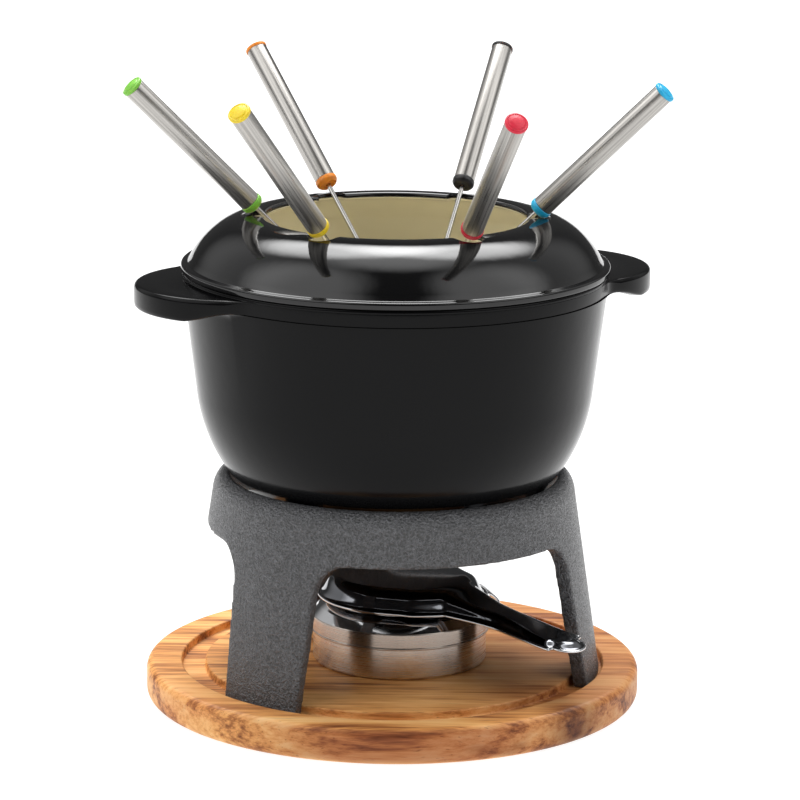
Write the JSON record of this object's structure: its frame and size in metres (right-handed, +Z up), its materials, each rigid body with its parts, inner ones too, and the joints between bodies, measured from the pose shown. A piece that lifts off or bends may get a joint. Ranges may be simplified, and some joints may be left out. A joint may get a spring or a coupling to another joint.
{
  "type": "fondue pot set",
  "caption": "Round enamelled fondue pot with side ears and a fork guard, long forks, a cast stand over a spirit burner with snuffer lid, and a round wooden board.",
  "frame": {"origin": "centre of the wooden board's underside, on the table", "axes": "+Z up; the pot's two ears point along +X and -X, turned by 4.5 degrees clockwise as seen from above; -Y is the front, where the burner slides out"},
  "size_m": [0.2446, 0.2509, 0.2932],
  "materials": {
    "acacia": "oiled, reddish-brown with dark streaks",
    "stand_iron": "matt dark grey enamel with a fine pebbled surface",
    "pot_enamel": "glossy black enamel outside, cream enamel inside",
    "guard_enamel": "glossy black enamel on top, cream enamel underneath",
    "brushed_tube": "brushed around the tube",
    "shaft_steel": "polished wire",
    "cup_steel": "brushed",
    "cover_steel": "mirror polished",
    "gauze_steel": "woven wire",
    "wadding": "soft fibre",
    "blue_plastic": "glossy moulded",
    "black_plastic": "glossy moulded",
    "orange_plastic": "glossy moulded",
    "green_plastic": "glossy moulded",
    "yellow_plastic": "glossy moulded",
    "red_plastic": "glossy moulded"
  },
  "bodies": {
    "board": {"wood_board": "acacia"},
    "stand": {"stand": "stand_iron"},
    "pot": {"pot": "pot_enamel"},
    "fork_guard": {"fork_guard": "guard_enamel"},
    "burner": {"burner_cup": "cup_steel", "burner_wadding": "wadding", "burner_gauze": "gauze_steel", "burner_cover": "cover_steel"},
    "regulator": {"burner_regulator": "cover_steel"},
    "snuffer_lid": {"snuffer_lid": "cover_steel"},
    "fork_blue": {"fork_blue_shaft": "shaft_steel", "fork_blue_handle": "brushed_tube", "fork_blue_collar": "blue_plastic", "fork_blue_cap": "blue_plastic"},
    "fork_black": {"fork_black_shaft": "shaft_steel", "fork_black_handle": "brushed_tube", "fork_black_collar": "black_plastic", "fork_black_cap": "black_plastic"},
    "fork_orange": {"fork_orange_shaft": "shaft_steel", "fork_orange_handle": "brushed_tube", "fork_orange_collar": "orange_plastic", "fork_orange_cap": "orange_plastic"},
    "fork_green": {"fork_green_shaft": "shaft_steel", "fork_green_handle": "brushed_tube", "fork_green_collar": "green_plastic", "fork_green_cap": "green_plastic"},
    "fork_yellow": {"fork_yellow_shaft": "shaft_steel", "fork_yellow_handle": "brushed_tube", "fork_yellow_collar": "yellow_plastic", "fork_yellow_cap": "yellow_plastic"},
    "fork_red": {"fork_red_shaft": "shaft_steel", "fork_red_handle": "brushed_tube", "fork_red_collar": "red_plastic", "fork_red_cap": "red_plastic"}
  },
  "joints": [
    {"name": "stand_lift", "type": "slide", "parent": "board", "child": "stand", "axis": [0, 0, 1], "range_m": [0, 0.12]},
    {"name": "pot_lift", "type": "slide", "parent": "stand", "child": "pot", "axis": [0, 0, 1], "range_m": [0, 0.12]},
    {"name": "guard_lift", "type": "slide", "parent": "pot", "child": "fork_guard", "axis": [0, 0, 1], "range_m": [0, 0.15]},
    {"name": "burner_slide", "type": "slide", "parent": "board", "child": "burner", "axis": [-0.0436, -0.999, 0], "range_m": [0, 0.16]},
    {"name": "regulator_turn", "type": "hinge", "parent": "burner", "child": "regulator", "pos_m": [0.0035, 0, 0.047], "axis": [0, 0, 1], "range_deg": [-18, 60]},
    {"name": "lid_lift", "type": "slide", "parent": "burner", "child": "snuffer_lid", "axis": [0, 0, 1], "range_m": [0, 0.025]},
    {"name": "fork_blue_slide", "type": "slide", "parent": "fork_guard", "child": "fork_blue", "axis": [0.5405, -0.4616, 0.7034], "range_m": [0, 0.2]},
    {"name": "fork_black_slide", "type": "slide", "parent": "fork_guard", "child": "fork_black", "axis": [0.4777, 0.5213, 0.7071], "range_m": [0, 0.2]},
    {"name": "fork_orange_slide", "type": "slide", "parent": "fork_guard", "child": "fork_orange", "axis": [-0.183, 0.683, 0.7071], "range_m": [0, 0.2]},
    {"name": "fork_green_slide", "type": "slide", "parent": "fork_guard", "child": "fork_green", "axis": [-0.7106, 0.0186, 0.7034], "range_m": [0, 0.2]},
    {"name": "fork_yellow_slide", "type": "slide", "parent": "fork_guard", "child": "fork_yellow", "axis": [-0.5985, -0.3526, 0.7193], "range_m": [0, 0.2]},
    {"name": "fork_red_slide", "type": "slide", "parent": "fork_guard", "child": "fork_red", "axis": [-0.0685, -0.7112, 0.6997], "range_m": [0, 0.2]}
  ]
}
